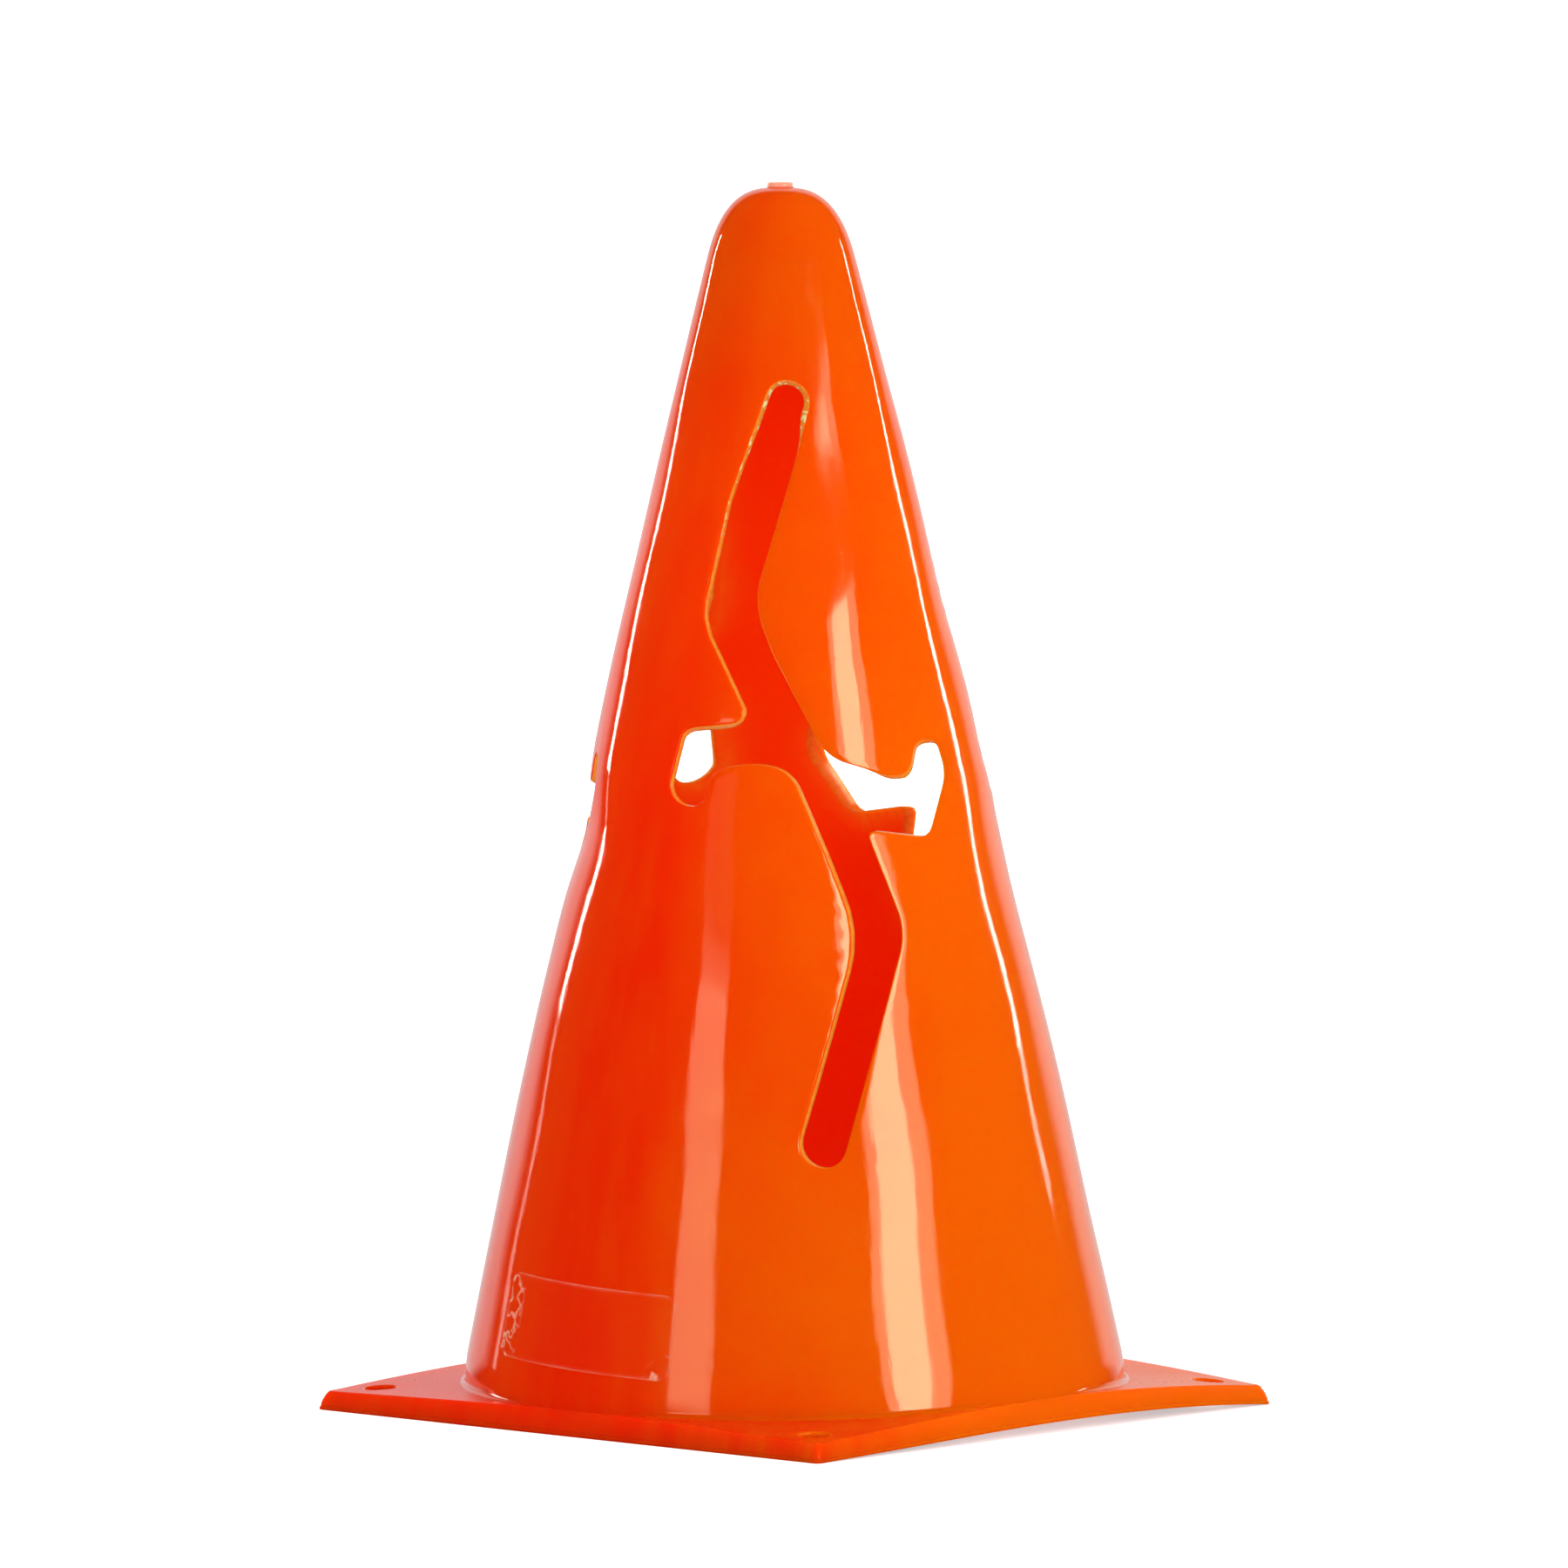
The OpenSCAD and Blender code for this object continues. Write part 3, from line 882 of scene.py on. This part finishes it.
    def skirt_profile(self):
        """Half side, height and corner radius of the skirt's outline, row by row: over the top
        edge, down the outside, round the lip and up the inside to the underside. Rows are (out of
        the skirt's own line, height) in millimetres, and that line leans in as height squared."""
        f = self.f
        run = f.side / 2 - f.lip_out
        h, lip, low, top = f.height / MM, f.lip_out / MM, f.lip_height / MM, self.under_height / MM
        sheet = f.sheet / MM
        rows = np.array([
            (-0.3, h), (-0.14, h - 0.02), (-0.04, h - 0.12), (0, h - 0.32),
            (0, 2.6), (0, 1.9), (0, 1.2), (0, low + 0.12), (0.05, low + 0.02),
            (lip - 0.1, low), (lip - 0.02, low - 0.05), (lip, low - 0.2), (lip - 0.03, 0.08),
            (lip - 0.14, 0), (0.2 - sheet, 0), (0.05 - sheet, 0.05), (-sheet, 0.2),
            (-sheet, top - 0.4), (-sheet - 0.1, top - 0.1), (-sheet - 0.4, top)]) * MM
        half = run - f.skirt_lean * (rows[:, 1] / f.height) ** 2 + rows[:, 0]
        return half, rows[:, 1], np.maximum(f.corner + (half - run), 0.6 * MM)

    def skirt(self, t, v):
        """The skirt by its row. The top edge stays outside the sheet, and the last rows inside
        stay outside the wall's bore."""
        sheet_rows, bore_rows = 3.5, 16.5
        n = np.arange(len(self.skirt_half))
        half, corner = np.interp(v, n, self.skirt_half), np.interp(v, n, self.skirt_corner)
        least = np.where(v < sheet_rows, self.sheet_ends(t)[0] + 0.02 * MM, 0)
        r = np.maximum(square_reach(t, half, corner), least)
        r = np.where(v > bore_rows, np.maximum(r, self.bore + 0.25 * MM), r)
        return stand(r, t, np.interp(v, n, self.skirt_height), self.sizes)

    def hole_circle(self, corner, radius):
        """(x, y) round the hole of the corner at that azimuth."""
        mid = self.f.side / 2 - self.f.hole_inset
        return (math.copysign(mid, math.cos(corner)) + radius * np.cos(self.circle),
                math.copysign(mid, math.sin(corner)) + radius * np.sin(self.circle))

    def hole_loops(self, radius, ends):
        """The corner holes' circles as (azimuth, share of the way between the ends)."""
        loops = []
        for corner in FOOT_CORNERS:
            x, y = self.hole_circle(corner, radius)
            t = self.after_seam(np.arctan2(y, x))
            a, b = ends(t)
            loops.append(np.stack([t, (np.hypot(x, y) - a) / (b - a)], 1))
        return loops

    def add_foot(self):
        """Collar, fillet, sheet, underside, corner holes and skirt."""
        f, turns, radius = self.f, self.turns, self.f.hole_radius
        self.grid(self.low_wall, turns, np.linspace(0, 1, 18))
        self.grid(self.fillet_arc, turns, np.linspace(0, np.pi / 2, 7)[::-1])
        for ends, wide, rows, height, kind in (
                (self.sheet_ends, radius + self.hole_round, 14, f.height, SHEET),
                (self.under_ends, radius, 8, self.under_height, WITHIN)):
            self.cut(self.flat(ends, height), turns, np.linspace(0, 1, rows),
                     self.hole_loops(wide, ends), self.sheet_stretch, 0.5 * MM, kind,
                     flip=kind == SHEET)
        a = np.linspace(0, np.pi / 2, 5)
        rings = np.r_[radius + self.hole_round * (1 - np.sin(a)), radius]
        z = np.r_[f.height - self.hole_round * (1 - np.cos(a)), self.under_height]
        for corner in FOOT_CORNERS:
            x, y = self.hole_circle(corner, rings[:, None])
            at = np.stack([x, y, np.broadcast_to(z[:, None], x.shape)], -1)
            self.strip(settle(at, *self.sizes))
        self.grid(self.skirt, turns, np.arange(len(self.skirt_half)), SKIRT, True)

    def low_inside(self, t, v):
        """The bore from the underside up to the band with the slots, with a rounded start: row 2
        is where the wall's own line takes over."""
        top = self.under_height
        z = np.interp(v, [0, 1, 2, 3], [top, top + 0.1 * MM, top + 0.4 * MM, self.low])
        start = self.bore + 0.1 * MM * (1 - v / 2) ** 2
        r = np.where(v < 2, start, wall_radius(z, self.w) - self.w.thickness)
        return stand(r, t, z, self.sizes)

    def add_inside(self):
        """The inside of the wall and of the dome."""
        w, turns = self.w, self.turns
        within = {"kind": WITHIN, "flip": True}
        self.grid(self.low_inside, turns, np.r_[0, 1, 2, np.linspace(2, 3, 13)[1:]], **within)
        loops = [np.stack([t[-1], z[-1]], 1) for t, z, _ in self.slots]
        self.cut(self.wall(w.thickness), turns, np.linspace(self.low, self.high, 60), loops,
                 self.wall_stretch, 1.0 * MM, thin=2, **within)
        self.grid(self.wall(w.thickness), turns, np.linspace(self.high, self.neck, 7), **within)
        dome_r, dome_z = dome_profile(w, w.thickness, 22)
        dome_r[0] = 0
        self.grid(self.lathe(dome_r, dome_z), turns, np.arange(len(dome_r))[::-1], **within)


def build_moulding(wall, foot, slots, finish):
    """The moulding in one piece, from its patches."""
    m = Moulding(wall, foot, slots)
    for part in (m.add_tip, m.add_wall, m.add_foot, m.add_inside):
        part()
    return m.piece("moulding", moulding_materials(finish), lambda p: painted_cut_light(p, wall, slots))


def build_label(label, w, f, s, finish):
    """The film: (across, up) on a rounded rectangle, wrapped on the wall and raised by its own
    thickness; the same grid a little lower is its back, and a rim joins them."""
    n_across, n_up = 72, 26
    a, b = np.meshgrid(np.linspace(-1, 1, n_across), np.linspace(-1, 1, n_up))
    hw, hh, c = label.width / 2, label.height / 2, label.corner
    up = b * hh
    over = np.clip(np.abs(up) - (hh - c), 0, c)
    reach = hw - (c - np.sqrt(c * c - over * over))
    across = a * reach
    rim = np.minimum((hw - np.abs(across)) / label.height, (hh - np.abs(up)) / label.height)

    def place(raise_by):
        """The rectangle, tilted and wrapped on the wall, raised from it by a distance."""
        x = across * math.cos(label.tilt) + up * math.sin(label.tilt)
        z = label.middle - across * math.sin(label.tilt) + up * math.cos(label.tilt)
        t = label.turn + x / wall_radius(np.full_like(z, label.middle), w)
        return stand(wall_radius(z, w) + raise_by, t, z, (w, f, s)).reshape(-1, 3)

    edge_fade = np.clip(rim * label.height / (0.25 * MM), 0, 1)
    front = place(0.02 * MM + label.film * np.sqrt(edge_fade))
    back = place(0.01 * MM)
    q = quads(n_up, n_across)
    grid = np.arange(n_up * n_across).reshape(n_up, n_across)
    ring = np.r_[grid[0], grid[1:, -1], grid[-1, -2::-1], grid[-2:0:-1, 0]]
    m = len(front)
    side = np.stack([ring, ring + m, np.roll(ring, -1) + m, np.roll(ring, -1)], 1)
    mesh = bpy.data.meshes.new("label_sheet")
    faces = np.vstack([q, q[:, ::-1] + m, side])
    mesh.from_pydata(np.vstack([front, back]).tolist(), [], faces.tolist())
    left, right = (a + 1) / 2, np.hypot((1 - a) * hw, (1 + b) * hh) / label.width * 1.2
    loose = np.minimum(left, right)
    uv = np.stack([np.r_[rim.ravel(), rim.ravel()], np.r_[loose.ravel(), loose.ravel()]], 1)
    layer = mesh.uv_layers.new(name="sheet")
    corner_of = np.empty(len(mesh.loops), np.int32)
    mesh.loops.foreach_get("vertex_index", corner_of)
    layer.data.foreach_set("uv", uv[corner_of].ravel())
    mesh.polygons.foreach_set("use_smooth", np.ones(len(mesh.polygons), bool))
    mesh.materials.append(film_material(finish.film))
    mesh.update()
    return add_object("label_sheet", mesh)


# ---------------- the stage

def lamp(studio, name, turn, height, distance, width, tall, group, share):
    """A soft box, aimed at the object's middle. The level is its brightness, so its power is
    level x pi x area."""
    data = bpy.data.lights.new(name, "AREA")
    data.shape = "RECTANGLE"
    data.size, data.size_y = width, tall
    data.energy = getattr(studio, group) * share * math.pi * width * tall
    data.color = LAMP_TINTS[group]
    obj = add_object(name, data)
    a = studio.azimuth + math.radians(turn)
    place = np.array([math.sin(a) * distance, -math.cos(a) * distance, height])
    object_middle = np.array([0, 0, 0.11])
    aim = place - object_middle
    obj.location = place
    tip = math.atan2(math.hypot(aim[0], aim[1]), aim[2])
    obj.rotation_euler = (tip, 0, math.atan2(aim[0], -aim[1]))


def behind_way(studio):
    """The level direction from the object away from the camera."""
    turn = studio.azimuth + math.radians(180)
    return math.sin(turn), -math.cos(turn), 0.0


def build_world(studio):
    """The room: white to the camera and to clear film, white behind the object to reflections,
    and a plain level for everything else."""
    world = bpy.data.worlds.new("room")
    bpy.context.scene.world = world
    t = empty_tree(world)
    path = node(t, "LightPath").outputs
    way = node(t, "TexCoord").outputs["Generated"]
    behind = vector(t, "DOT_PRODUCT", way, behind_way(studio))
    room, back = ramp(t, behind, ROOM_STOPS), ramp(t, behind, BEHIND_STOPS)
    plain = node(t, "Background", [(room, "Color")], Strength=studio.ambient).outputs[0]
    mirror = node(t, "Background", [(back, "Color")], Strength=1.0).outputs[0]
    white = node(t, "Background", Color=(1, 1, 1, 1), Strength=1.0).outputs[0]
    lit = either(t, path["Is Glossy Ray"], plain, mirror)
    seen = calc(t, "MAXIMUM", path["Is Camera Ray"], path["Is Transmission Ray"])
    node(t, "OutputWorld", [(either(t, seen, lit, white), "Surface")])


def build_floor(studio):
    """A large pale floor that the camera sees as white where no shadow falls, with some of its
    own glow that grows away from the object. Reflections see it white behind the object."""
    half = 60.0
    mesh = bpy.data.meshes.new("floor")
    corners = [(-half, -half, 0), (half, -half, 0), (half, half, 0), (-half, half, 0)]
    mesh.from_pydata(corners, [], [(0, 1, 2, 3)])
    m, t, shader, coord = new_material("pale_floor")
    grain = noise(t, coord, Scale=6.0, Detail=2.0)
    dull = tuple(0.985 * c for c in studio.floor)
    shade = ramp(t, grain, [(0.3, dull), (0.7, tuple(studio.floor))])
    dress(t, shader, {"Base Color": shade}, {"Roughness": 0.9, "Specular IOR Level": 0.0})
    path = node(t, "LightPath").outputs
    level = remap(t, vector(t, "LENGTH", coord), 0.15, 0.75, 0.50, 1.0)
    glow = node(t, "Emission", [(level, "Strength")]).outputs[0]
    glowing = node(t, "AddShader", [(shader.outputs[0], 0), (glow, 1)]).outputs[0]
    behind = behind_way(studio)
    from_front = vector(t, "ADD", coord, [0.05 * c for c in behind])
    way = vector(t, "DOT_PRODUCT", vector(t, "NORMALIZE", from_front), behind)
    back = ramp(t, way, BEHIND_STOPS)
    mirror = node(t, "Emission", [(back, "Color")], Strength=0.9).outputs[0]
    plain = either(t, path["Is Glossy Ray"], shader.outputs[0], mirror)
    out = next(n for n in t.nodes if n.type == "OUTPUT_MATERIAL")
    t.links.new(either(t, path["Is Camera Ray"], plain, glowing), out.inputs["Surface"])
    mesh.materials.append(m)
    obj = add_object("floor", mesh)


def build_camera(studio):
    """The photograph's view: level distance, eye height, pitch and a long lens."""
    data = bpy.data.cameras.new("view")
    data.sensor_width = 36.0
    data.lens = studio.lens
    data.clip_end = 250.0
    obj = add_object("view", data)
    a = studio.azimuth
    obj.location = (math.sin(a) * studio.distance - math.cos(a) * studio.aside,
                    -math.cos(a) * studio.distance - math.sin(a) * studio.aside, studio.eye)
    obj.rotation_euler = (math.pi / 2 - studio.pitch, 0, a)
    bpy.context.scene.camera = obj


# ---------------- operators and panel

class MARKERCONE_OT_moulding(bpy.types.Operator):
    """Build the orange moulding in place of the plain one"""
    bl_idname = "markercone.moulding"
    bl_label = "Moulding"

    def execute(self, context):
        s = context.scene
        piece = build_moulding(s.cone_wall, s.cone_foot, s.cone_slots, s.cone_finish)
        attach(piece, "root")
        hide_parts("cone")
        return {"FINISHED"}


class MARKERCONE_OT_label(bpy.types.Operator):
    """Build the blank clear label in place of the plain one"""
    bl_idname = "markercone.label"
    bl_label = "Label"

    def execute(self, context):
        s = context.scene
        piece = build_label(s.cone_label, s.cone_wall, s.cone_foot, s.cone_slots, s.cone_finish)
        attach(piece, "root")
        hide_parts("label")
        return {"FINISHED"}


class MARKERCONE_OT_stage(bpy.types.Operator):
    """Set up the floor, the room, the lamps and the camera"""
    bl_idname = "markercone.stage"
    bl_label = "Stage"

    def execute(self, context):
        studio = context.scene.cone_studio
        build_world(studio)
        build_floor(studio)
        build_camera(studio)
        for row in LAMPS:
            lamp(studio, *row)
        context.scene.view_settings.view_transform = "Standard"
        return {"FINISHED"}


class MARKERCONE_PT_sidebar(bpy.types.Panel):
    """The cone's sizes and its builders"""
    bl_label = "Marker Cone"
    bl_idname = "MARKERCONE_PT_sidebar"
    bl_space_type = "VIEW_3D"
    bl_region_type = "UI"
    bl_category = "Marker Cone"

    def draw(self, context):
        for name, (group, title, button) in GROUPS.items():
            box = self.layout.box()
            box.label(text=title)
            for key in group.__annotations__:
                box.prop(getattr(context.scene, name), key)
            if button:
                box.operator(button)


# Each group of sizes by its name in the scene: its class, its title and its builder's button.
GROUPS = {
    "cone_wall": (WallSizes, "Wall", None),
    "cone_foot": (FootSizes, "Foot", None),
    "cone_slots": (SlotSizes, "Slots", "markercone.moulding"),
    "cone_label": (LabelSizes, "Label", "markercone.label"),
    "cone_finish": (Finish, "Finish", None),
    "cone_studio": (Studio, "Studio", "markercone.stage"),
}
CLASSES = (*(group for group, _, _ in GROUPS.values()), MARKERCONE_OT_moulding,
           MARKERCONE_OT_label, MARKERCONE_OT_stage, MARKERCONE_PT_sidebar)


def register():
    for c in CLASSES:
        bpy.utils.register_class(c)
    for name, (group, _, _) in GROUPS.items():
        setattr(bpy.types.Scene, name, PointerProperty(type=group))


def unregister():
    for name in GROUPS:
        delattr(bpy.types.Scene, name)
    for c in reversed(CLASSES):
        bpy.utils.unregister_class(c)


def main():
    """Registers the add-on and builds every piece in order."""
    register()
    bpy.ops.markercone.moulding()
    bpy.ops.markercone.label()
    bpy.ops.markercone.stage()
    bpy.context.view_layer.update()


if __name__ == "__main__":
    main()
